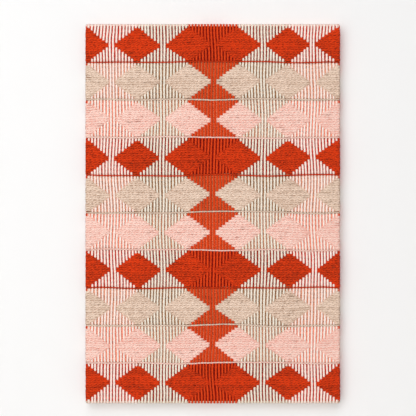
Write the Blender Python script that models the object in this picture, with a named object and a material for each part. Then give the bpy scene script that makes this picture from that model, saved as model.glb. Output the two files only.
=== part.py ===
# Textile wall hanging: a heavy handwoven cloth stretched over a mitred wooden stretcher frame.
# The cloth is one solid: its front carries lozenges of standing warp ribs between plain lozenges of
# packed weft, and its edges wrap round the frame and end in a hem on the back. Four plain bars
# make the frame inside it.
# Metres. X runs to the right, Y towards the wall and Z up. The origin is the middle of the top edge,
# in the plane of the wall.

import math

import bmesh
import bpy

# Yarns: the warp runs up the cloth and the weft across it
WARPS = 80
WARP_PITCH = 0.00635
PICKS = 160
PICK_PITCH = 0.00476
LOZENGE = 16  # warps across a lozenge, and picks from its foot to its tip
SHORTEST_GROOVE = 2  # picks, half of the shortest groove that is cut
GROOVE_DEPTH = 0.0026
GROOVE_END_SLOPE = 0.0018
EDGE_LAND = 0.0014  # plain cloth between a groove and the cloth's fold

# Cloth
FRONT_THICKNESS = 0.006
SIDE_THICKNESS = 0.004
HEM_THICKNESS = 0.004
HEM_WIDTH = 0.030
FOLD_RADIUS = 0.003
BACK_FOLD_RADIUS = 0.0018
CORNER_RADIUS = 0.005
HEM_CORNER_RADIUS = 0.001
CAVITY_CORNER_RADIUS = 0.0003
CORNER_POINTS = 3

# Stretcher frame
BAR_WIDTH = 0.038
BAR_DEPTH = 0.019
SEAT_GAP = 0.0003

# Worked out from the sizes above
FRAME_WIDTH = WARPS * WARP_PITCH
FRAME_HEIGHT = PICKS * PICK_PITCH
CAVITY_HALF_WIDTH = FRAME_WIDTH / 2 + SEAT_GAP
CAVITY_HALF_HEIGHT = FRAME_HEIGHT / 2 + SEAT_GAP
CLOTH_HALF_WIDTH = CAVITY_HALF_WIDTH + SIDE_THICKNESS
CLOTH_HALF_HEIGHT = CAVITY_HALF_HEIGHT + SIDE_THICKNESS
CENTRE_Z = -CLOTH_HALF_HEIGHT
BAR_BACK_Y = -HEM_THICKNESS - SEAT_GAP
BAR_FRONT_Y = BAR_BACK_Y - BAR_DEPTH
CAVITY_FRONT_Y = BAR_FRONT_Y - SEAT_GAP
FRONT_Y = CAVITY_FRONT_Y - FRONT_THICKNESS

CLOTH_COLOUR = (0.60, 0.13, 0.04, 1.0)
WOOD_COLOUR = (0.62, 0.44, 0.26, 1.0)


def clear_scene():
    for old in list(bpy.data.objects):
        bpy.data.objects.remove(old)


def make_material(name, colour, roughness):
    material = bpy.data.materials.new(name)
    material.use_nodes = True
    shader = material.node_tree.nodes["Principled BSDF"]
    shader.inputs["Base Color"].default_value = colour
    shader.inputs["Roughness"].default_value = roughness
    shader.inputs["Metallic"].default_value = 0.0
    return material


def crest_line():
    """(height, depth) of the points up the crest of a warp: plain, with a point in each plain lozenge."""
    middles = [(row + 0.5) * LOZENGE * PICK_PITCH for row in range(PICKS // LOZENGE)]
    return [(height, 0.0) for height in (0.0, *middles, FRAME_HEIGHT)]


def groove_line(warps_to_the_left):
    """(height, depth) of the points up the line between two warps, sunk where both stand as ribs."""
    across = warps_to_the_left % LOZENGE
    half_picks = min(across, LOZENGE - across)
    if half_picks < SHORTEST_GROOVE:
        return crest_line()
    half_length = (half_picks - 0.5) * PICK_PITCH
    points = []
    for row in range(PICKS // LOZENGE + 1):
        middle = row * LOZENGE * PICK_PITCH
        low = max(middle - half_length, EDGE_LAND)
        high = min(middle + half_length, FRAME_HEIGHT - EDGE_LAND)
        points += [
            (low, 0.0),
            (low + GROOVE_END_SLOPE, GROOVE_DEPTH),
            (high - GROOVE_END_SLOPE, GROOVE_DEPTH),
            (high, 0.0),
        ]
    return [(0.0, 0.0), *points, (FRAME_HEIGHT, 0.0)]


def add_line(bm, x, points):
    """One upright line of vertices in the cloth's front face."""
    foot = CENTRE_Z - FRAME_HEIGHT / 2
    return [bm.verts.new((x, FRONT_Y + depth, foot + height)) for height, depth in points]


def loft_strip(bm, left, right):
    """Triangles between two neighbouring upright lines, which may have unlike numbers of points."""
    i = j = 0
    while i < len(left) - 1 or j < len(right) - 1:
        left_is_next = j == len(right) - 1 or (
            i < len(left) - 1 and left[i + 1].co.z <= right[j + 1].co.z
        )
        if left_is_next:
            bm.faces.new((left[i], right[j], left[i + 1]))
            i += 1
        else:
            bm.faces.new((left[i], right[j], right[j + 1]))
            j += 1


def add_ribbed_front(bm):
    """The woven face, line by line from the left."""
    left_edge = -FRAME_WIDTH / 2
    previous = None
    for half_pitch in range(2 * WARPS + 1):
        between_warps = half_pitch % 2 == 0
        points = groove_line(half_pitch // 2) if between_warps else crest_line()
        line = add_line(bm, left_edge + half_pitch * WARP_PITCH / 2, points)
        if previous:
            loft_strip(bm, previous, line)
        previous = line


def ring_points(inset, corner_radius, half_width, half_height):
    """Points round a rounded rectangle, anticlockwise seen from the front."""
    points = []
    for corner, (side, top) in enumerate(((1, 1), (-1, 1), (-1, -1), (1, -1))):
        centre_x = side * (half_width - inset - corner_radius)
        centre_z = top * (half_height - inset - corner_radius)
        for step in range(CORNER_POINTS):
            angle = math.radians(90 * (corner + step / (CORNER_POINTS - 1)))
            points.append(
                (centre_x + corner_radius * math.cos(angle), centre_z + corner_radius * math.sin(angle))
            )
    return points


def add_ring(bm, y, inset, corner_radius, half_width=CLOTH_HALF_WIDTH, half_height=CLOTH_HALF_HEIGHT):
    """Vertices round the cloth, in the plane at y."""
    outline = ring_points(inset, corner_radius, half_width, half_height)
    return [bm.verts.new((x, y, CENTRE_Z + z)) for x, z in outline]


def add_wrapped_edges(bm):
    """The cloth's fold, sides, hem and inside, lofted through rings from the front face to the cavity."""
    fold_middle = FOLD_RADIUS * (1 - math.sqrt(0.5))
    back_middle = BACK_FOLD_RADIUS * (1 - math.sqrt(0.5))
    rings = [
        add_ring(bm, FRONT_Y, FOLD_RADIUS, CORNER_RADIUS - FOLD_RADIUS),
        add_ring(bm, FRONT_Y + fold_middle, fold_middle, CORNER_RADIUS - fold_middle),
        add_ring(bm, FRONT_Y + FOLD_RADIUS, 0.0, CORNER_RADIUS),
        add_ring(bm, -BACK_FOLD_RADIUS, 0.0, CORNER_RADIUS),
        add_ring(bm, -back_middle, back_middle, CORNER_RADIUS - back_middle),
        add_ring(bm, 0.0, BACK_FOLD_RADIUS, CORNER_RADIUS - BACK_FOLD_RADIUS),
        add_ring(bm, 0.0, HEM_WIDTH, HEM_CORNER_RADIUS),
        add_ring(bm, -HEM_THICKNESS, HEM_WIDTH, HEM_CORNER_RADIUS),
    ]
    for y in (-HEM_THICKNESS, CAVITY_FRONT_Y):
        rings.append(
            add_ring(bm, y, 0.0, CAVITY_CORNER_RADIUS, CAVITY_HALF_WIDTH, CAVITY_HALF_HEIGHT)
        )
    for near, far in zip(rings, rings[1:]):
        for n in range(len(near)):
            bm.faces.new((near[n - 1], near[n], far[n], far[n - 1]))
    bm.faces.new(rings[-1])


def link(name, mesh, material, collection):
    thing = bpy.data.objects.new(name, mesh)
    collection.objects.link(thing)
    if not mesh.materials:
        mesh.materials.append(material)
    return thing


def make_cloth(collection, material):
    bm = bmesh.new()
    add_ribbed_front(bm)
    add_wrapped_edges(bm)
    margin = [edge for edge in bm.edges if edge.is_boundary]
    bmesh.ops.triangle_fill(bm, edges=margin, use_beauty=True)
    bmesh.ops.recalc_face_normals(bm, faces=bm.faces)
    mesh = bpy.data.meshes.new("cloth")
    bm.to_mesh(mesh)
    bm.free()
    return link("cloth", mesh, material, collection)


def make_bar_mesh(name, length):
    """A mitred bar along X, its outer edge on top at z 0, cut back by half a seat gap at each mitre."""
    outline = bpy.data.curves.new(name, "CURVE")
    outline.dimensions = "2D"
    outline.fill_mode = "BOTH"
    outline.extrude = BAR_DEPTH / 2
    mitre_gap = SEAT_GAP / math.sqrt(2)
    outer = length / 2 - mitre_gap
    inner = outer - BAR_WIDTH
    spline = outline.splines.new("POLY")
    spline.points.add(3)
    corners = ((-outer, 0.0), (outer, 0.0), (inner, -BAR_WIDTH), (-inner, -BAR_WIDTH))
    for point, (x, z) in zip(spline.points, corners):
        point.co = (x, z, 0.0, 1.0)
    spline.use_cyclic_u = True
    flat = bpy.data.objects.new(name, outline)
    bpy.context.scene.collection.objects.link(flat)
    mesh = bpy.data.meshes.new_from_object(flat.evaluated_get(bpy.context.evaluated_depsgraph_get()))
    bpy.data.objects.remove(flat)
    bm = bmesh.new()
    bm.from_mesh(mesh)
    bmesh.ops.remove_doubles(bm, verts=bm.verts, dist=0.00001)
    bm.to_mesh(mesh)
    bm.free()
    return mesh


def make_frame(collection, material):
    """Top and bottom bars share one mesh, and so do the two side bars."""
    across = make_bar_mesh("bar_across", FRAME_WIDTH)
    upright = make_bar_mesh("bar_upright", FRAME_HEIGHT)
    middle_y = (BAR_FRONT_Y + BAR_BACK_Y) / 2
    places = (
        ("bar_top", across, 0, 0.0, FRAME_HEIGHT / 2),
        ("bar_left", upright, 90, -FRAME_WIDTH / 2, 0.0),
        ("bar_bottom", across, 180, 0.0, -FRAME_HEIGHT / 2),
        ("bar_right", upright, 270, FRAME_WIDTH / 2, 0.0),
    )
    for name, mesh, turn, x, z in places:
        bar = link(name, mesh, material, collection)
        bar.location = (x, middle_y, CENTRE_Z + z)
        bar.rotation_euler = (math.radians(90), -math.radians(turn), 0.0)


def main():
    clear_scene()
    collection = bpy.data.collections.new("textile_wall_hanging")
    bpy.context.scene.collection.children.link(collection)
    make_cloth(collection, make_material("woven_yarn", CLOTH_COLOUR, 0.9))
    make_frame(collection, make_material("planed_pine", WOOD_COLOUR, 0.6))


main()
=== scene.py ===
import math

import bpy
import numpy as np
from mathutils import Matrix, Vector


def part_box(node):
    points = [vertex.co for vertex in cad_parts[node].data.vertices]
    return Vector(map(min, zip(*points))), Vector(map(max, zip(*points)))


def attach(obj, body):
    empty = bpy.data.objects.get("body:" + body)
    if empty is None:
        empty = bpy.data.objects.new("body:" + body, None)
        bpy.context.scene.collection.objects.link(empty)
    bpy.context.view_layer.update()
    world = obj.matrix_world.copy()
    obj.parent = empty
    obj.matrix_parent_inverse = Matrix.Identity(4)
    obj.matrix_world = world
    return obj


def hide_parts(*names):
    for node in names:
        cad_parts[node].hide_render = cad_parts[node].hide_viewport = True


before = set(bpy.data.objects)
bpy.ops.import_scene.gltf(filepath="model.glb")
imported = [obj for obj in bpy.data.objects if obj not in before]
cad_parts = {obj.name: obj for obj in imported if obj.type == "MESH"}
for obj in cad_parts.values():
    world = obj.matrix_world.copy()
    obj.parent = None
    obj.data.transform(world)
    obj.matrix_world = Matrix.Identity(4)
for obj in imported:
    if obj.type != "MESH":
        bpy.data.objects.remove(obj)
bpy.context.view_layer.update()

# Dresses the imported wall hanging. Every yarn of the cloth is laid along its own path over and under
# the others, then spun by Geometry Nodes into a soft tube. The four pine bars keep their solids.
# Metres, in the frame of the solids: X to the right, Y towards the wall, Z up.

barNames = ("bar_top", "bar_bottom", "bar_left", "bar_right")
clothLow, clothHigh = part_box("cloth")
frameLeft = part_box("bar_left")[0].x
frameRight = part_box("bar_right")[1].x
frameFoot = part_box("bar_bottom")[0].z
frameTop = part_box("bar_top")[1].z
halfWidth = (clothHigh.x - clothLow.x) / 2
halfHeight = (clothHigh.z - clothLow.z) / 2
middleX = (clothLow.x + clothHigh.x) / 2
middleZ = (clothLow.z + clothHigh.z) / 2
frontY = clothLow.y
panelDepth = clothHigh.y - clothLow.y

chance = np.random.default_rng(11)  # every random number comes from here, in a fixed order
mixFactor, mixFirst, mixSecond, mixResult = 0, 6, 7, 2  # the sockets of a Mix node set to colour


def linearColour(hexValue):
    channels = [int(hexValue[n:n + 2], 16) / 255 for n in (1, 3, 5)]
    return tuple(c / 12.92 if c < 0.04045 else ((c + 0.055) / 1.055) ** 2.4 for c in channels) + (1.0,)


def addNode(tree, kind, settings=None, inputs=None):
    # a node with its settings, and its inputs linked to sockets or set to values
    node = tree.nodes.new(kind)
    for name, value in (settings or {}).items():
        setattr(node, name, value)
    for name, value in (inputs or {}).items():
        if isinstance(value, bpy.types.Node):
            value = value.outputs[0]
        if isinstance(value, bpy.types.NodeSocket):
            tree.links.new(value, node.inputs[name])
        else:
            node.inputs[name].default_value = value
    return node


def addObject(name, mesh):
    thing = bpy.data.objects.new(name, mesh)
    bpy.context.scene.collection.objects.link(thing)
    return thing


def smoothStep(t):
    t = np.clip(t, 0.0, 1.0)
    return t * t * (3 - 2 * t)


# Weave. The warp runs up the cloth and the weft across it. Standing warps make lozenges of ribs, and
# the weft covers the cloth in the plain lozenges between them.
weave = {
    "warps": 80,  # on the front
    "picks": 160,
    "lozenge": 16,  # warps across a lozenge, and picks from its foot to its tip
    "sideWarps": 8,  # more yarns that go round each side and onto the hem
    "sidePicks": 11,
    "sideTie": 4,  # picks round the fold at which the last ribs are tied down
    "warpColours": ("pink", "beige", "red", "beige", "pink"),  # from the left
    "sideWarpColour": "red",
    "weftColours": ("red", "pink", "beige"),  # from the foot, repeated
    # painted furrow shade: the colour painted into a yarn where a yarn of each colour stands over it,
    # and the colour painted where both yarns have that colour
    "furrowShadeColours": {"pink": "#FFCAB6", "beige": "#D6B394", "red": "#EC8C64"},
    "ownFurrowShadeColours": {"pink": "#FFBFA8", "beige": "#BE9A78", "red": "#B4482A"},
}
warpPitch = (frameRight - frameLeft) / weave["warps"]
pickPitch = (frameTop - frameFoot) / weave["picks"]
allWarps = range(-weave["sideWarps"], weave["warps"] + weave["sideWarps"])
allPicks = range(-weave["sidePicks"], weave["picks"] + weave["sidePicks"])


def isRib(warp, pick):
    lozenge, half = weave["lozenge"], weave["lozenge"] / 2
    across = abs(warp % lozenge + 0.5 - half)
    up = abs((pick + half) % lozenge + 0.5 - half)
    return across + up <= half


def isTie(pick):
    # one weft at the foot of each band holds the ribs down, and one more past each end of the front
    betweenBands = 0 < pick < weave["picks"] and pick % weave["lozenge"] == 0
    return betweenBands or pick in (-weave["sideTie"], weave["picks"] - 1 + weave["sideTie"])


def warpIsOver(warp, pick):
    return isRib(warp, pick) and not isTie(pick)


def warpColour(warp):
    onFront = 0 <= warp < weave["warps"]
    return weave["warpColours"][warp // weave["lozenge"]] if onFront else weave["sideWarpColour"]


def weftColour(pick):
    return weave["weftColours"][pick // weave["lozenge"] % len(weave["weftColours"])]


# Wrapping: the way of the cloth from the front round a fold, along a side and onto the hem
wrap = {
    "foldRadius": 0.0045,
    "foldMiddle": 0.0031,  # radius on which the cloth's length round a fold is measured
    "foldSpacing": 0.0016,  # between the points of a yarn on a fold
    "foldPoints": 4,
    "leastSpacing": 0.0007,  # nearer to another point than this, a fold point is left out
    "endMargin": 0.0005,  # how near to its end a yarn keeps no other point
    "cornerRadius": 0.005,
    "cornerSteps": 4,
    "hemWidth": 0.030,
    "tuck": 0.010,  # how far a side yarn goes on under the next side
    "tuckDepth": 0.0022,
    "tuckShare": 0.5,  # of the tuck, over which it sinks
    "tuckSteps": 3,
    "thinEdge": 0.006,  # the width along a fold over which the cloth gets thinner
    "nudge": 0.001,  # the step over which the cloth's direction is measured
}
bendLength = wrap["foldMiddle"] * math.pi / 2
sideLength = panelDepth - 2 * wrap["foldRadius"]


def foldPlace(run, half, depth):
    # (distance from the middle, y) of a yarn at a distance run along the cloth
    radius = wrap["foldRadius"]
    far = np.abs(run)
    inner = radius - depth
    pastFlat = far - (half - radius)
    pastBend = pastFlat - bendLength
    pastSide = pastBend - sideLength
    pastAll = pastSide - bendLength
    first = np.clip(pastFlat / bendLength, 0, 1) * math.pi / 2
    second = np.clip(pastSide / bendLength, 0, 1) * math.pi / 2
    stretches = [pastFlat <= 0, pastBend <= 0, pastSide <= 0, pastAll <= 0]
    out = np.select(
        stretches,
        [far, half - radius + inner * np.sin(first), half - depth, half - radius + inner * np.cos(second)],
        half - radius - pastAll,
    )
    y = np.select(
        stretches,
        [
            frontY + depth,
            frontY + radius - inner * np.cos(first),
            frontY + radius + pastBend,
            inner * np.sin(second) - radius,
        ],
        -depth,
    )
    return np.sign(run) * out, y


def runToHem(half, hem):
    # the distance along the cloth from its middle to a point on the hem
    return half - wrap["foldRadius"] + 2 * bendLength + sideLength + (hem - wrap["foldRadius"])


# Wandering: handwoven lines are never quite straight
wander = {
    "size": 0.0016,
    "edgeWidth": 0.030,  # over which the wandering ends, because the folds are pulled straight
    "longest": 0.42,  # lengths of the slow waves
    "shortest": 0.11,
    "waves": 7,
    "quickShare": 0.35,  # of a yarn's own unevenness
    "slowPoints": 5,  # the points over which the slow part is spread
}


def strayWaves():
    # slow waves that move the whole cloth a little in its own plane
    waves = []
    for n in range(wander["waves"]):
        length = wander["longest"] * (wander["shortest"] / wander["longest"]) ** chance.random()
        turn = chance.uniform(0, math.pi)
        waves.append((math.cos(turn) * math.tau / length, math.sin(turn) * math.tau / length,
                      chance.uniform(0, math.tau)))
    return waves


wavesAcross, wavesUp = strayWaves(), strayWaves()


def stray(waves, across, up):
    total = sum(np.sin(kx * across + kz * up + phase) for kx, kz, phase in waves)
    toEdge = np.minimum(halfWidth - np.abs(across), halfHeight - np.abs(up)) - wrap["foldRadius"]
    return wander["size"] * total / math.sqrt(len(waves)) * smoothStep(toEdge / wander["edgeWidth"])


def unevenness(count, size):
    # slow and quick unevenness of one yarn
    spread = wander["slowPoints"]
    rough = chance.normal(0, size, count + spread - 1)
    slow = np.convolve(rough, np.ones(spread) / math.sqrt(spread), "valid")
    return slow + chance.normal(0, size * wander["quickShare"], count)


# Yarns. The warp is one thick strand, and the weft two thinner ones side by side. Each colour is
# matched in its own yarn: the warps are paler than the wefts.
warpYarn = {
    "width": 0.0043,
    "thickness": 0.0026,
    "groove": 0.0,  # depth of the line between strands, as a share of the thickness
    "strands": 1,
    "slub": 0.30,
    "slubLength": 0.018,
    "overDepth": 0.0015,  # of the yarn's middle below the cloth's face
    "underDepth": 0.0040,
    "sideOverDepth": 0.0014,
    "sideUnderDepth": 0.0029,
    "bead": 0.0,
    "beadFullness": 0.0,
    "strayAcross": 0.00022,
    "strayDepth": 0.00008,
    # the crest colour is a painted highlight on the front of the yarn; light and deep are its pale and deep
    # fibres
    "colours": {
        "red": {"crest": "#EC5019", "light": "#DF3D0A", "deep": "#AE2604"},
        "pink": {"crest": "#FFFCF7", "light": "#FFEBE0", "deep": "#F8C8B7"},
        "beige": {"crest": "#FEFBF1", "light": "#F4EADA", "deep": "#D8C1A7"},
    },
}
weftYarn = {
    "width": 0.0059,
    "thickness": 0.0026,
    "groove": 0.25,
    "strands": 2,
    "slub": 0.45,
    "slubLength": 0.007,
    "overDepth": 0.0016,
    "underDepth": 0.0037,
    "sideOverDepth": 0.0013,
    "sideUnderDepth": 0.0026,
    "bead": 0.00045,  # rise and fall over the fine ground warp
    "beadFullness": 0.10,  # how much fuller and thinner it gets there
    "strayAcross": 0.00020,
    "strayDepth": 0.00014,
    "tieFullness": 0.50,  # how full the weft stays where it is drawn tight over ribs
    "thinShare": 0.06,  # of the crossings, at which the weft is drawn thin and a shadow opens
    "thinFullness": 0.62,
    # the crest colour is a painted highlight on the front of the yarn; light and deep are its pale and deep
    # fibres
    "colours": {
        "red": {"crest": "#E64814", "light": "#E63806", "deep": "#6A0A00"},
        "pink": {"crest": "#FFE6DB", "light": "#FFD6C8", "deep": "#F09A86"},
        "beige": {"crest": "#F8E2D0", "light": "#F2D6C1", "deep": "#B28A6C"},
    },
}


# Crossings: how a yarn comes up between two neighbours
crossing = {
    "shares": (0.38, 0.62),  # of the way between the neighbours
    "heights": (0.22, 0.78),  # of the yarn there
    "shortShift": 0.16,  # how much shorter a dip under one yarn is
}


def knots(start, pitch, over, fullness, hasBeads, firstBead):
    # (run, height, bead, fullness) of the points of one yarn. The height is 0 where the yarn is under
    # the others and 1 where it is over them. Straight stretches get few points.
    points = []
    for n, up in enumerate(over):
        last = n == len(over) - 1
        turning = last or n == 0 or over[n - 1] != up or over[n + 1] != up
        if turning or n % 2 == 0 or (up and hasBeads):
            points.append((start + n * pitch, float(up), firstBead * up, fullness[n]))
        if last:
            break
        between = (fullness[n] + fullness[n + 1]) / 2
        if over[n + 1] != up:
            # a dip under one yarn only is short, and any other is slower
            shortAfter = n + 2 < len(over) and up and over[n + 2]
            shortBefore = n > 0 and not up and over[n - 1]
            shift = crossing["shortShift"] * (int(shortAfter) - int(shortBefore))
            for share, height in zip(crossing["shares"], crossing["heights"]):
                height = height if over[n + 1] else 1 - height
                points.append((start + (n + share + shift) * pitch, height, 0, between))
        elif up and hasBeads:
            points.append((start + (n + 0.5) * pitch, 1.0, -firstBead, between))
    return np.array(points).T


def trimmed(points, limit):
    # only the part within the limit, with points just on it
    points = points[:, np.abs(points[0]) < limit - wrap["endMargin"]]
    ends = points[:, [0, -1]]
    ends[0] = (-limit, limit)
    return np.insert(points, [0, points.shape[1]], ends, axis=1)


def foldPoints(points, flat):
    # more points round the folds, so that they bend smoothly
    run = points[0]
    extra = []
    for begin in (flat, flat + bendLength + sideLength):
        extra += [begin + n * wrap["foldSpacing"] for n in range(wrap["foldPoints"])]
    extra = np.array([-e for e in extra] + extra)
    extra = extra[np.abs(extra) < np.abs(run).max()]
    extra = extra[np.abs(extra[:, None] - run[None, :]).min(axis=1) > wrap["leastSpacing"]]
    between = np.array([extra] + [np.interp(extra, run, row) for row in points[1:]])
    allPoints = np.concatenate([points, between], axis=1)
    return allPoints[:, np.argsort(allPoints[0])]


def paintFurrowShade(colour, upright, run, height):
    # painted furrow shade: a darker, tinted colour for a yarn where it lies under the others, white where it
    # lies over them
    pitch = pickPitch if upright else warpPitch
    count = weave["picks"] if upright else weave["warps"]
    colourOf = weftColour if upright else warpColour
    shadeColours = []
    for n in np.floor(run / pitch + count / 2).astype(int):  # the yarns that it crosses
        table = "ownFurrowShadeColours" if colourOf(n) == colour else "furrowShadeColours"
        shadeColours.append(linearColour(weave[table][colourOf(n)])[:3])
    return 1 + (np.array(shadeColours) - 1) * (1 - height)[:, None]


def layYarn(yarn, colour, upright, offset, points):
    # one yarn that crosses the front, from hem to hem. A row holds a place on it, its fullness and
    # painted furrow shade there, and the way its flat side lies.
    run, height, bead, fullness = points
    half = halfHeight if upright else halfWidth
    across = np.full(len(run), offset) + unevenness(len(run), yarn["strayAcross"])
    if upright:
        moveAcross, moveAlong = stray(wavesAcross, across, run), stray(wavesUp, across, run)
    else:
        moveAcross, moveAlong = stray(wavesUp, run, across), stray(wavesAcross, run, across)
    onSide = smoothStep((np.abs(run) - half + wrap["foldRadius"] + wrap["thinEdge"]) / wrap["thinEdge"])
    under = yarn["underDepth"] + (yarn["sideUnderDepth"] - yarn["underDepth"]) * onSide
    over = yarn["overDepth"] + (yarn["sideOverDepth"] - yarn["overDepth"]) * onSide
    depth = under + (over - under) * height - bead * yarn["bead"]
    depth = depth + unevenness(len(run), yarn["strayDepth"])
    out, y = foldPlace(run + moveAlong, half, depth)
    across = across + moveAcross
    place = (middleX + across, y, middleZ + out) if upright else (middleX + out, y, middleZ + across)
    fullness = fullness * (1 + yarn["beadFullness"] * bead)
    flat = np.tile((-1.0, 0.0, 0.0) if upright else (0.0, 0.0, 1.0), (len(run), 1))
    return np.column_stack([*place, fullness, paintFurrowShade(colour, upright, run, height), flat])


def wayAcross(offset, half, depth):
    # the way (out, y) in which the cloth goes on past a yarn that lies along a side
    out, y = foldPlace(offset + np.array([-0.5, 0.5]) * wrap["nudge"], half, depth)
    way = np.array([out[1] - out[0], y[1] - y[0]])
    return way / np.linalg.norm(way)


def sideCorner(other, half, sign, end, inset, y, way, inward):
    # the end of a side yarn: it goes round the cloth's corner and is tucked under the next side
    radius = wrap["cornerRadius"]
    rows = []
    for step in range(wrap["cornerSteps"] + 1):
        angle = math.radians(90 * step / wrap["cornerSteps"])
        cosine, sine = math.cos(angle), math.sin(angle)
        rows.append((sign * (other - radius + (radius - inset) * cosine), y,
                     end * (half - radius + (radius - inset) * sine),
                     way[0] * cosine, way[1], way[0] * sign * end * sine))
    for step in range(1, wrap["tuckSteps"] + 1):
        share = step / wrap["tuckSteps"]
        sink = wrap["tuckDepth"] * float(smoothStep(share / wrap["tuckShare"]))
        rows.append((sign * (other - radius - wrap["tuck"] * share), y + sink * inward[1],
                     end * (half - inset - sink * inward[0]), 0.0, way[1], way[0] * sign * end))
    return rows if end > 0 else rows[::-1]


def laySideYarn(yarn, upright, offset, points):
    # one yarn that runs along a side, or along a hem up to its mitre
    run, height = points[:2]
    half = halfHeight if upright else halfWidth  # of the way that it runs
    other = halfWidth if upright else halfHeight
    sign = float(np.sign(offset))
    depth = yarn["sideUnderDepth"] + (yarn["sideOverDepth"] - yarn["sideUnderDepth"]) * height
    depth = depth + unevenness(len(run), yarn["strayDepth"])
    middleDepth = (yarn["sideUnderDepth"] + yarn["sideOverDepth"]) / 2
    place, atY = foldPlace(np.array([offset]), other, np.array([middleDepth]))
    way = wayAcross(offset, other, middleDepth)
    inward = (abs(way[1]), way[0])
    way = way * (-1 if upright else 1)
    inset = other - abs(float(place[0]))
    onHem = inset > wrap["foldRadius"]
    reach = half - (inset if onHem else wrap["cornerRadius"])
    inside = np.abs(run) < reach - wrap["endMargin"]
    run, depth = run[inside], depth[inside]
    out, y = foldPlace(np.full(len(run), offset), other, depth)
    flat = (way[0], way[1], 0.0)
    line = [(*row, *flat) for row in zip(out, y, run)]
    if onHem:
        line = [(place[0], y[0], -reach, *flat), *line, (place[0], y[0], reach, *flat)]
    else:
        near, far = (sideCorner(other, half, sign, end, inset, float(atY[0]), way, inward)
                     for end in (-1, 1))
        line = [*near, *line, *far]
    line = np.array(line)
    order = [0, 1, 2] if upright else [2, 1, 0]
    places, flats = line[:, :3][:, order], line[:, 3:][:, order]
    # white: no painted furrow shade on the side yarns
    fullAndWhite = np.ones((len(line), 4))  # its fullness and a white tint
    return np.column_stack([places + (middleX, 0, middleZ), fullAndWhite, flats])


def layWarps():
    start = (allPicks[0] + 0.5 - weave["picks"] / 2) * pickPitch
    lines = {}
    for warp in allWarps:
        offset = (warp + 0.5 - weave["warps"] / 2) * warpPitch
        over = [warpIsOver(warp, pick) for pick in allPicks]
        points = knots(start, pickPitch, over, [1.0] * len(over), False, 0)
        if 0 <= warp < weave["warps"]:
            hem = min(wrap["hemWidth"], halfWidth - abs(offset))
            points = foldPoints(trimmed(points, runToHem(halfHeight, hem)), halfHeight - wrap["foldRadius"])
            line = layYarn(warpYarn, warpColour(warp), True, offset, points)
        else:
            line = laySideYarn(warpYarn, True, offset, points)
        lines.setdefault(warpColour(warp), []).append(line)
    return lines


def layWefts():
    start = (allWarps[0] + 0.5 - weave["warps"] / 2) * warpPitch
    lines = {}
    for pick in allPicks:
        offset = (pick + 0.5 - weave["picks"] / 2) * pickPitch
        firstBead = 1 if pick % 2 else -1
        over = [not warpIsOver(warp, pick) for warp in allWarps]
        isThin = chance.random(len(over)) < weftYarn["thinShare"]
        fullness = np.where(isThin, weftYarn["thinFullness"], 1.0)
        if isTie(pick):
            fullness[[isRib(warp, pick) for warp in allWarps]] = weftYarn["tieFullness"]
        points = knots(start, warpPitch, over, fullness, True, firstBead)
        if 0 <= pick < weave["picks"]:
            hem = min(wrap["hemWidth"], halfHeight - abs(offset))
            points = foldPoints(trimmed(points, runToHem(halfWidth, hem)), halfWidth - wrap["foldRadius"])
            line = layYarn(weftYarn, weftColour(pick), False, offset, points)
        else:
            line = laySideYarn(weftYarn, False, offset, points)
        lines.setdefault(weftColour(pick), []).append(line)
    return lines


# Spinning: Geometry Nodes turn a path into a yarn
spin = {
    "pointsRound": 8,
    "ownPart": 977.0,  # takes each yarn to its own part of the noise
    "slubDetail": 1.0,
    "noiseMiddle": 0.5,
    "grooveWaves": 3.0,  # round the section, which sink a line in the middle of both flat sides
}


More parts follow.
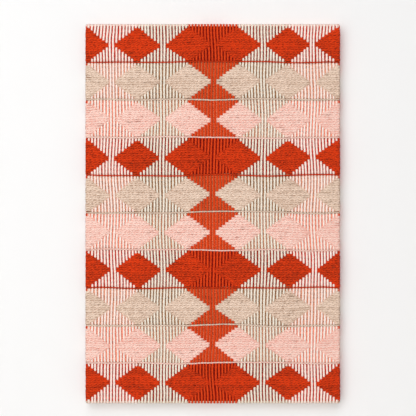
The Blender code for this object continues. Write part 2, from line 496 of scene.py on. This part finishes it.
def makeSpinTree():
    tree = bpy.data.node_groups.new("spinYarn", "GeometryNodeTree")
    tree.interface.new_socket("Geometry", in_out="INPUT", socket_type="NodeSocketGeometry")
    for label in ("Yarn width", "Yarn thickness", "Groove", "Slub", "Slub length", "Seed"):
        tree.interface.new_socket(label, in_out="INPUT", socket_type="NodeSocketFloat")
    tree.interface.new_socket("Points round", in_out="INPUT", socket_type="NodeSocketInt")
    tree.interface.new_socket("Material", in_out="INPUT", socket_type="NodeSocketMaterial")
    tree.interface.new_socket("Geometry", in_out="OUTPUT", socket_type="NodeSocketGeometry")
    given = addNode(tree, "NodeGroupInput").outputs

    # the path, with its flat side kept in the plane of the cloth
    path = addNode(tree, "GeometryNodeMeshToCurve", None, {"Mesh": given["Geometry"]})
    flat = addNode(tree, "GeometryNodeInputNamedAttribute", {"data_type": "FLOAT_VECTOR"}, {"Name": "flat"})
    path = addNode(tree, "GeometryNodeSetCurveNormal", {"mode": "FREE"}, {"Curve": path, "Normal": flat})
    length = addNode(tree, "GeometryNodeSplineParameter").outputs["Length"]
    path = addNode(tree, "GeometryNodeStoreNamedAttribute", {"data_type": "FLOAT", "domain": "POINT"},
                   {"Geometry": path, "Name": "run", "Value": length})

    # slubs: the yarn gets thicker and thinner along its length, and each yarn in its own places
    shade = addNode(tree, "GeometryNodeInputNamedAttribute", {"data_type": "FLOAT"}, {"Name": "shade"})
    slubRun = addNode(tree, "ShaderNodeMath", {"operation": "DIVIDE"}, {0: length, 1: given["Slub length"]})
    ownPart = addNode(tree, "ShaderNodeMath", {"operation": "MULTIPLY"}, {0: shade, 1: spin["ownPart"]})
    where = addNode(tree, "ShaderNodeCombineXYZ", None, {"X": slubRun, "Y": ownPart})
    slubs = addNode(tree, "ShaderNodeTexNoise", {"noise_dimensions": "4D"},
                    {"Vector": where, "W": given["Seed"], "Scale": 1.0, "Detail": spin["slubDetail"]})
    swing = addNode(tree, "ShaderNodeMath", {"operation": "SUBTRACT"}, {0: slubs, 1: spin["noiseMiddle"]})
    size = addNode(tree, "ShaderNodeMath", {"operation": "MULTIPLY_ADD"},
                   {0: swing, 1: given["Slub"], 2: 1.0})
    fullness = addNode(tree, "GeometryNodeInputNamedAttribute", {"data_type": "FLOAT"}, {"Name": "fullness"})
    size = addNode(tree, "ShaderNodeMath", {"operation": "MULTIPLY"}, {0: size, 1: fullness})

    # the cross-section is an ellipse, or with a groove two strands lying side by side
    ring = addNode(tree, "GeometryNodeCurvePrimitiveCircle", None,
                   {"Resolution": given["Points round"], "Radius": 1.0})
    along = addNode(tree, "GeometryNodeSplineParameter").outputs["Factor"]
    turn = addNode(tree, "ShaderNodeMath", {"operation": "MULTIPLY"}, {0: along, 1: math.tau})
    sine = addNode(tree, "ShaderNodeMath", {"operation": "SINE"}, {0: turn})
    cosine = addNode(tree, "ShaderNodeMath", {"operation": "COSINE"}, {0: turn})
    grooveTurn = addNode(tree, "ShaderNodeMath", {"operation": "MULTIPLY"},
                         {0: turn, 1: spin["grooveWaves"]})
    lobes = addNode(tree, "ShaderNodeMath", {"operation": "SINE"}, {0: grooveTurn})
    lobed = addNode(tree, "ShaderNodeMath", {"operation": "MULTIPLY_ADD"},
                    {0: lobes, 1: given["Groove"], 2: sine})
    around = addNode(tree, "ShaderNodeCombineXYZ", None, {"X": cosine, "Y": sine})
    section = addNode(tree, "ShaderNodeCombineXYZ", None, {"X": cosine, "Y": lobed})
    yarnSize = addNode(tree, "ShaderNodeCombineXYZ", None,
                       {"X": given["Yarn width"], "Y": given["Yarn thickness"]})
    halfSize = addNode(tree, "ShaderNodeVectorMath", {"operation": "SCALE"}, {0: yarnSize, "Scale": 0.5})
    section = addNode(tree, "ShaderNodeVectorMath", {"operation": "MULTIPLY"}, {0: section, 1: halfSize})
    ring = addNode(tree, "GeometryNodeStoreNamedAttribute", {"data_type": "FLOAT_VECTOR", "domain": "POINT"},
                   {"Geometry": ring, "Name": "round", "Value": around})
    ring = addNode(tree, "GeometryNodeSetPosition", None, {"Geometry": ring, "Position": section})

    body = addNode(tree, "GeometryNodeCurveToMesh", None,
                   {"Curve": path, "Profile Curve": ring, "Scale": size, "Fill Caps": True})
    body = addNode(tree, "GeometryNodeSetShadeSmooth", None, {"Geometry": body})
    body = addNode(tree, "GeometryNodeRealizeInstances", None, {"Geometry": body})
    body = addNode(tree, "GeometryNodeSetMaterial", None, {"Geometry": body, "Material": given["Material"]})
    addNode(tree, "NodeGroupOutput", None, {"Geometry": body})
    return tree


def runTree(thing, tree, values):
    # runs a tree on an object and keeps the result as the object's plain mesh
    modifier = thing.modifiers.new(tree.name, "NODES")
    modifier.node_group = tree
    for socket in tree.interface.items_tree:
        if socket.in_out == "INPUT" and socket.name in values:
            modifier[socket.identifier] = values[socket.name]
    evaluated = thing.evaluated_get(bpy.context.evaluated_depsgraph_get())
    mesh = bpy.data.meshes.new_from_object(evaluated)
    thing.modifiers.remove(modifier)
    thing.data = mesh


def pathObject(name, lines):
    # the paths of many yarns as one mesh of edges, with what the tree and the wool need to know
    mesh = bpy.data.meshes.new(name)
    edges, shades, first = [], [], 0
    for line in lines:
        edges += [(first + n, first + n + 1) for n in range(len(line) - 1)]
        shades += [chance.random()] * len(line)
        first += len(line)
    rows = np.concatenate(lines)
    mesh.from_pydata(rows[:, :3].tolist(), edges, [])
    for label, values in (("shade", np.array(shades)), ("fullness", rows[:, 3])):
        mesh.attributes.new(label, "FLOAT", "POINT").data.foreach_set("value", values)
    for label, values in (("furrowShade", rows[:, 4:7]), ("flat", rows[:, 7:])):
        mesh.attributes.new(label, "FLOAT_VECTOR", "POINT").data.foreach_set("vector", values.ravel())
    return addObject(name, mesh)


# Wool: a rug yarn spun thick from dyed fleece. It is matt and heathered, because pale and deep fibres
# of one dye lie side by side. Its crest gets a painted highlight, and the twist shows as fine painted shade
# and bump.
wool = {
    "twistLength": 0.009,  # for one turn
    "plies": 2,  # in each strand
    "fleckSize": 0.0034,  # of a tuft of one shade in the fleece
    "fleckDetail": 3.0,
    "fleckRoughness": 0.65,
    "dyeDriftSize": 0.060,  # of the slow changes of shade in a dyed skein
    "dyeDriftDetail": 1.0,
    "fibreSize": 0.00056,  # a real fibre is near 0.03 mm, so it is drawn as coarse as it needs to show
    "fibreDetail": 2.0,
    "fibreRoughness": 0.6,
    # how much each cause counts in the heather; the twist's part is painted shade in the grooves between
    # plies
    "fleckShare": 2.2,
    "driftShare": 0.35,
    "yarnShare": 0.30,
    "twistShadeShare": 0.50,
    "heatherLow": 1.32,  # the sum at which the wool is at its deepest, and at its palest
    "heatherHigh": 1.98,
    # painted highlight: the front of each yarn's round is painted paler
    "highlightStrength": 0.50,  # how much of the crest colour shows on the crest
    "highlightLow": 0.35,  # where the crest begins and where it is full, from -1 at the back to 1
    "highlightHigh": 1.0,
    # painted furrow shade is laid on the front and sides of each yarn's round, not on its back
    "furrowShadeLow": -0.6,  # the same for the light in a furrow, which doesn't reach the back
    "furrowShadeHigh": -0.2,
    "fibreBump": 0.6,
    "bumpHeight": 0.0006,
    "bumpStrength": 1.0,
    "roughness": 0.92,
    "specular": 0.2,
    "sheen": 0.20,
    "sheenRoughness": 0.5,
}


def makeWool(yarn, colour):
    strands = yarn["strands"]
    hue = {part: linearColour(value) for part, value in yarn["colours"][colour].items()}
    material = bpy.data.materials.new("spunWool" + colour.capitalize() + str(strands) + "Strand")
    material.use_nodes = True
    tree = material.node_tree
    shader = tree.nodes["Principled BSDF"]
    place = addNode(tree, "ShaderNodeTexCoord").outputs["Object"]
    run = addNode(tree, "ShaderNodeAttribute", {"attribute_name": "run"}).outputs["Fac"]
    shade = addNode(tree, "ShaderNodeAttribute", {"attribute_name": "shade"}).outputs["Fac"]
    around = addNode(tree, "ShaderNodeAttribute", {"attribute_name": "round"}).outputs["Vector"]
    furrowShade = addNode(tree, "ShaderNodeAttribute", {"attribute_name": "furrowShade"}).outputs["Vector"]

    # the twist runs round and along each strand
    axes = addNode(tree, "ShaderNodeSeparateXYZ", None, {0: around}).outputs
    angle = addNode(tree, "ShaderNodeMath", {"operation": "ARCTAN2"}, {0: axes["Y"], 1: axes["X"]})
    slant = addNode(tree, "ShaderNodeMath", {"operation": "MULTIPLY"}, {0: angle, 1: wool["plies"] * strands})
    twist = addNode(tree, "ShaderNodeMath", {"operation": "MULTIPLY_ADD"},
                    {0: run, 1: math.tau / wool["twistLength"], 2: slant})
    wave = addNode(tree, "ShaderNodeMath", {"operation": "SINE"}, {0: twist})
    ply = addNode(tree, "ShaderNodeMapRange", None, {"Value": wave, "From Min": -1.0})  # from 0 to 1

    fleck = addNode(tree, "ShaderNodeTexNoise", None,
                    {"Vector": place, "Scale": 1 / wool["fleckSize"], "Detail": wool["fleckDetail"],
                     "Roughness": wool["fleckRoughness"]})
    drift = addNode(tree, "ShaderNodeTexNoise", None,
                    {"Vector": place, "Scale": 1 / wool["dyeDriftSize"], "Detail": wool["dyeDriftDetail"]})
    # heather from random flecks, dye drift and yarn tone, with painted shade along the twist
    heatherAndTwistShade = 0.0
    causes = {"fleckShare": fleck, "driftShare": drift, "yarnShare": shade, "twistShadeShare": ply}
    for share, cause in causes.items():
        heatherAndTwistShade = addNode(tree, "ShaderNodeMath", {"operation": "MULTIPLY_ADD"},
                          {0: cause, 1: wool[share], 2: heatherAndTwistShade})
    heatherAndTwistShade = addNode(tree, "ShaderNodeMapRange", None,
                      {"Value": heatherAndTwistShade, "From Min": wool["heatherLow"], "From Max": wool["heatherHigh"]})
    dyedWithPaintedLight = addNode(tree, "ShaderNodeMix", {"data_type": "RGBA"},
                   {mixFactor: heatherAndTwistShade, mixFirst: hue["deep"], mixSecond: hue["light"]})
    # painted highlight: the front of each yarn's round is paler
    crest = addNode(tree, "ShaderNodeMapRange", None,
                    {"Value": axes["Y"], "From Min": wool["highlightLow"], "From Max": wool["highlightHigh"],
                     "To Max": wool["highlightStrength"]})
    dyedWithPaintedLight = addNode(tree, "ShaderNodeMix", {"data_type": "RGBA"},
                   {mixFactor: crest, mixFirst: dyedWithPaintedLight.outputs[mixResult], mixSecond: hue["crest"]})
    # painted furrow shade: the colour is multiplied by the shade of the yarns over it, except at the back
    furrowShadeMask = addNode(tree, "ShaderNodeMapRange", None,
                      {"Value": axes["Y"], "From Min": wool["furrowShadeLow"], "From Max": wool["furrowShadeHigh"]})
    dyedWithPaintedLight = addNode(tree, "ShaderNodeMix", {"data_type": "RGBA", "blend_type": "MULTIPLY"},
                   {mixFactor: furrowShadeMask, mixFirst: dyedWithPaintedLight.outputs[mixResult], mixSecond: furrowShade})

    fibres = addNode(tree, "ShaderNodeTexNoise", None,
                     {"Vector": place, "Scale": 1 / wool["fibreSize"], "Detail": wool["fibreDetail"],
                      "Roughness": wool["fibreRoughness"]})
    height = addNode(tree, "ShaderNodeMath", {"operation": "MULTIPLY_ADD"},
                     {0: fibres, 1: wool["fibreBump"], 2: ply})
    bump = addNode(tree, "ShaderNodeBump", None,
                   {"Strength": wool["bumpStrength"], "Distance": wool["bumpHeight"], "Height": height})
    tree.links.new(dyedWithPaintedLight.outputs[mixResult], shader.inputs["Base Color"])
    tree.links.new(bump.outputs["Normal"], shader.inputs["Normal"])
    shader.inputs["Roughness"].default_value = wool["roughness"]
    shader.inputs["Specular IOR Level"].default_value = wool["specular"]
    shader.inputs["Sheen Weight"].default_value = wool["sheen"]
    shader.inputs["Sheen Roughness"].default_value = wool["sheenRoughness"]
    shader.inputs["Sheen Tint"].default_value = hue["light"]
    return material


def spinYarns(name, yarn, lines, tree):
    pieces = []
    for colour in sorted(lines):
        piece = pathObject(name + colour.capitalize(), lines[colour])
        runTree(piece, tree, {
            "Yarn width": yarn["width"],
            "Yarn thickness": yarn["thickness"],
            "Groove": yarn["groove"],
            "Slub": yarn["slub"],
            "Slub length": yarn["slubLength"],
            "Seed": float(len(pieces)),
            "Points round": spin["pointsRound"],
            "Material": makeWool(yarn, colour),
        })
        pieces.append(piece)
    return pieces


spinTree = makeSpinTree()
warpPieces = spinYarns("warp", warpYarn, layWarps(), spinTree)
print("warp spun:", [(piece.name, len(piece.data.polygons)) for piece in warpPieces])
weftPieces = spinYarns("weft", weftYarn, layWefts(), spinTree)
print("weft spun:", [(piece.name, len(piece.data.polygons)) for piece in weftPieces])

# Ground: the fine linen ground warp that holds the weft, drawn as one thin sheet through the cloth
ground = {
    "frontDepth": 0.0040,
    "sideDepth": 0.0034,
    "hemDepth": 0.0022,
    "frontInset": 0.0065,
    "frontCorner": 0.001,
    "hemCorner": 0.0005,
    "hemShort": 0.0012,  # how much sooner than the yarns it ends
    "cornerPoints": 5,
    "colour": "#D8B494",
    "deep": "#B58C6C",
    "endSpacing": 0.0016,  # from one end to the next
    "endSway": 1.5,
    "roughness": 0.85,
    "bumpHeight": 0.0004,
}


def ringAt(y, inset, corner):
    points = []
    count = ground["cornerPoints"]
    for quarter, (sideX, sideZ) in enumerate(((1, 1), (-1, 1), (-1, -1), (1, -1))):
        for step in range(count):
            angle = math.radians(90 * (quarter + step / (count - 1)))
            points.append((middleX + sideX * (halfWidth - inset - corner) + corner * math.cos(angle), y,
                           middleZ + sideZ * (halfHeight - inset - corner) + corner * math.sin(angle)))
    return points


def makeGround():
    sideCornerRadius = wrap["cornerRadius"] - ground["sideDepth"]
    rings = [
        ringAt(frontY + ground["frontDepth"], ground["frontInset"], ground["frontCorner"]),
        ringAt(frontY + wrap["foldRadius"], ground["sideDepth"], sideCornerRadius),
        ringAt(-wrap["foldRadius"], ground["sideDepth"], sideCornerRadius),
        ringAt(-ground["hemDepth"], wrap["foldRadius"], ground["hemCorner"]),
        ringAt(-ground["hemDepth"], wrap["hemWidth"] - ground["hemShort"], ground["hemCorner"]),
    ]
    count = len(rings[0])
    faces = [tuple(reversed(range(count)))]
    for n in range(len(rings) - 1):
        for m in range(count):
            after = (m + 1) % count
            faces.append((n * count + m, n * count + after, (n + 1) * count + after, (n + 1) * count + m))
    mesh = bpy.data.meshes.new("groundLinen")
    mesh.from_pydata([point for ring in rings for point in ring], [], faces)
    return addObject("groundLinen", mesh)


def makeLinen():
    # linen: fine unbleached ends under tension, dull and a little streaky
    material = bpy.data.materials.new("unbleachedLinen")
    material.use_nodes = True
    tree = material.node_tree
    shader = tree.nodes["Principled BSDF"]
    place = addNode(tree, "ShaderNodeTexCoord").outputs["Object"]
    ends = addNode(tree, "ShaderNodeTexWave", {"wave_type": "BANDS", "bands_direction": "X"},
                   {"Vector": place, "Scale": 1 / ground["endSpacing"] / math.tau,
                    "Distortion": ground["endSway"]})
    colour = addNode(tree, "ShaderNodeMix", {"data_type": "RGBA"},
                     {mixFactor: ends.outputs["Fac"], mixFirst: linearColour(ground["deep"]),
                      mixSecond: linearColour(ground["colour"])})
    bump = addNode(tree, "ShaderNodeBump", None,
                   {"Distance": ground["bumpHeight"], "Height": ends.outputs["Fac"]})
    tree.links.new(colour.outputs[mixResult], shader.inputs["Base Color"])
    tree.links.new(bump.outputs["Normal"], shader.inputs["Normal"])
    shader.inputs["Roughness"].default_value = ground["roughness"]
    return material


groundPiece = makeGround()
groundPiece.data.materials.append(makeLinen())
print("ground sheet made")

# Bars: planed pine, pale and satin, with soft brown grain along each bar
pine = {
    "early": "#E4C690",  # wood grown in spring, between the rings
    "late": "#C08F52",  # wood grown in summer, in the rings
    "grainStretch": 0.06,  # along the grain, against across it
    "ringWidth": 0.0045,
    "ringDetail": 1.0,
    "ringSway": 0.4,
    "streakWidth": 0.0006,
    "streakDetail": 2.0,
    "swayWidth": 0.045,
    "swayDetail": 2.0,
    "ringShare": 0.7,
    "streakShare": 0.2,
    "swayShare": 0.3,
    "grainLow": 0.45,
    "grainHigh": 0.80,
    "earlyRoughness": 0.55,
    "lateRoughness": 0.42,
    "bumpHeight": 0.0002,
    "bumpStrength": 0.4,
}


def makePine(name, alongX):
    material = bpy.data.materials.new(name)
    material.use_nodes = True
    tree = material.node_tree
    shader = tree.nodes["Principled BSDF"]
    place = addNode(tree, "ShaderNodeTexCoord").outputs["Object"]
    stretch = (pine["grainStretch"], 1.0, 1.0) if alongX else (1.0, 1.0, pine["grainStretch"])
    place = addNode(tree, "ShaderNodeMapping", None, {"Vector": place, "Scale": stretch})
    sway = addNode(tree, "ShaderNodeTexNoise", None,
                   {"Vector": place, "Scale": 1 / pine["swayWidth"], "Detail": pine["swayDetail"]})
    rings = addNode(tree, "ShaderNodeTexNoise", None,
                    {"Vector": place, "Scale": 1 / pine["ringWidth"], "Detail": pine["ringDetail"],
                     "Distortion": pine["ringSway"]})
    streaks = addNode(tree, "ShaderNodeTexNoise", None,
                      {"Vector": place, "Scale": 1 / pine["streakWidth"], "Detail": pine["streakDetail"]})
    grain = 0.0
    for cause, share in ((rings, "ringShare"), (streaks, "streakShare"), (sway, "swayShare")):
        grain = addNode(tree, "ShaderNodeMath", {"operation": "MULTIPLY_ADD"},
                        {0: cause, 1: pine[share], 2: grain})
    grain = addNode(tree, "ShaderNodeMapRange", None,
                    {"Value": grain, "From Min": pine["grainLow"], "From Max": pine["grainHigh"]})
    colour = addNode(tree, "ShaderNodeMix", {"data_type": "RGBA"},
                     {mixFactor: grain, mixFirst: linearColour(pine["early"]),
                      mixSecond: linearColour(pine["late"])})
    rough = addNode(tree, "ShaderNodeMapRange", None,
                    {"Value": grain, "To Min": pine["earlyRoughness"], "To Max": pine["lateRoughness"]})
    bump = addNode(tree, "ShaderNodeBump", None,
                   {"Strength": pine["bumpStrength"], "Distance": pine["bumpHeight"], "Height": streaks})
    tree.links.new(colour.outputs[mixResult], shader.inputs["Base Color"])
    tree.links.new(rough.outputs["Result"], shader.inputs["Roughness"])
    tree.links.new(bump.outputs["Normal"], shader.inputs["Normal"])
    return material


pineAcross, pineUpright = makePine("planedPineAcross", True), makePine("planedPineUpright", False)
for name in barNames:
    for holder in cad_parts[name].material_slots:
        holder.link = "OBJECT"
        holder.material = pineUpright if name in ("bar_left", "bar_right") else pineAcross
print("bars finished")

# Every piece rides on the one body and stands for the cloth's solid
for piece in [*warpPieces, *weftPieces, groundPiece]:
    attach(piece, "root")
    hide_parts("cloth")

# Stage: a white wall behind the hanging and a pale floor well below it
stage = {
    "wallColour": "#F4F4F4",
    "floorColour": "#DEDBD7",
    "roughness": 0.95,
    "reach": 2.6,
    "floorDrop": 0.42,
    "wallGap": 0.0010,  # room for the hem's yarns, which reach a little behind its solid
}


def makePlane(name, corners, material):
    mesh = bpy.data.meshes.new(name)
    mesh.from_pydata(corners, [], [tuple(range(len(corners)))])
    mesh.materials.append(material)
    plane = addObject(name, mesh)
    return plane


def makePaint(name, colour, seenFromFrontOnly):
    # rolled chalky paint: flat, with no shine at all
    material = bpy.data.materials.new(name)
    material.use_nodes = True
    tree = material.node_tree
    shader = tree.nodes["Principled BSDF"]
    shader.inputs["Base Color"].default_value = linearColour(colour)
    shader.inputs["Roughness"].default_value = stage["roughness"]
    shader.inputs["Specular IOR Level"].default_value = 0.0
    if seenFromFrontOnly:
        behind = addNode(tree, "ShaderNodeNewGeometry").outputs["Backfacing"]
        clear = addNode(tree, "ShaderNodeBsdfTransparent")
        both = addNode(tree, "ShaderNodeMixShader", None, {0: behind, 1: shader, 2: clear})
        tree.links.new(both.outputs[0], tree.nodes["Material Output"].inputs["Surface"])
    return material


def makeStage():
    reach = stage["reach"]
    floorZ = clothLow.z - stage["floorDrop"]
    wallY = clothHigh.y + stage["wallGap"]
    wall = makePlane(
        "wall",
        [(-reach, wallY, floorZ), (reach, wallY, floorZ), (reach, wallY, reach), (-reach, wallY, reach)],
        makePaint("paintedPlaster", stage["wallColour"], True),
    )
    # the wall takes the hanging's shadow but leaves the back lit, so that it can be looked at too
    wall.visible_shadow = False
    wall.visible_diffuse = False
    wall.visible_glossy = False
    makePlane(
        "floor",
        [(-reach, -reach, floorZ), (reach, -reach, floorZ), (reach, reach, floorZ), (-reach, reach, floorZ)],
        makePaint("paleFloor", stage["floorColour"], False),
    )


makeStage()
print("stage set")

# Light: a wide soft source on the left, a weaker one above, and a pale room round them. The turn is in
# degrees from straight ahead to the right, the rise in degrees, and the power in watts.
light = {
    "softKey": {"turn": -20.0, "rise": 9.0, "distance": 3.6, "size": 3.3, "power": 81.0},
    "softTop": {"turn": -4.0, "rise": 42.0, "distance": 7.0, "size": 4.6, "power": 150.0},
    "softBack": {"turn": 158.0, "rise": 30.0, "distance": 2.5, "size": 1.5, "power": 60.0},
    "colour": "#FFFFFF",
    "roomColour": "#FFFFFF",
    "roomStrength": 0.22,
}


def makeLamp(name):
    lamp = bpy.data.lights.new(name, "AREA")
    lamp.shape = "DISK"
    lamp.size = light[name]["size"]
    lamp.energy = light[name]["power"]
    lamp.color = linearColour(light["colour"])[:3]
    holder = addObject(name, lamp)
    turn, rise = math.radians(light[name]["turn"]), math.radians(light[name]["rise"])
    away = Vector((math.sin(turn) * math.cos(rise), -math.cos(turn) * math.cos(rise), math.sin(rise)))
    holder.location = Vector((middleX, frontY, middleZ)) + away * light[name]["distance"]
    holder.rotation_euler = away.to_track_quat("Z", "Y").to_euler()
    holder.visible_camera = False


def makeRoom():
    world = bpy.data.worlds.new("paleRoom")
    world.use_nodes = True
    background = world.node_tree.nodes["Background"]
    background.inputs["Color"].default_value = linearColour(light["roomColour"])
    background.inputs["Strength"].default_value = light["roomStrength"]
    bpy.context.scene.world = world


for name in ("softKey", "softTop", "softBack"):
    makeLamp(name)
makeRoom()
print("light set")

# Camera: square on to the hanging, as far back as a short telephoto lens needs
camera = {
    "lens": 85.0,  # mm
    "sensor": 36.0,  # mm
    "farthest": 50.0,  # metres
    "pictureSide": 416,  # pixels
    "panelLeft": 85.2,  # the hanging's edges in the picture, in pixels
    "panelRight": 340.4,
    "panelTop": 23.5,
    "panelFoot": 403.9,
}


def makeCamera():
    data = bpy.data.cameras.new("camera")
    data.lens = camera["lens"]
    data.sensor_width = camera["sensor"]
    data.clip_end = camera["farthest"]
    holder = addObject("camera", data)
    pixel = 2 * halfWidth / (camera["panelRight"] - camera["panelLeft"])
    shotWidth = camera["pictureSide"] * pixel
    centreX = (camera["panelLeft"] + camera["panelRight"]) / 2
    centreZ = (camera["panelTop"] + camera["panelFoot"]) / 2
    holder.location = (
        middleX - (centreX - camera["pictureSide"] / 2) * pixel,
        frontY - shotWidth * camera["lens"] / camera["sensor"],
        middleZ + (centreZ - camera["pictureSide"] / 2) * pixel,
    )
    holder.rotation_euler = (math.radians(90), 0.0, 0.0)
    bpy.context.scene.camera = holder


makeCamera()
bpy.context.scene.view_settings.view_transform = "Standard"
print("camera set")
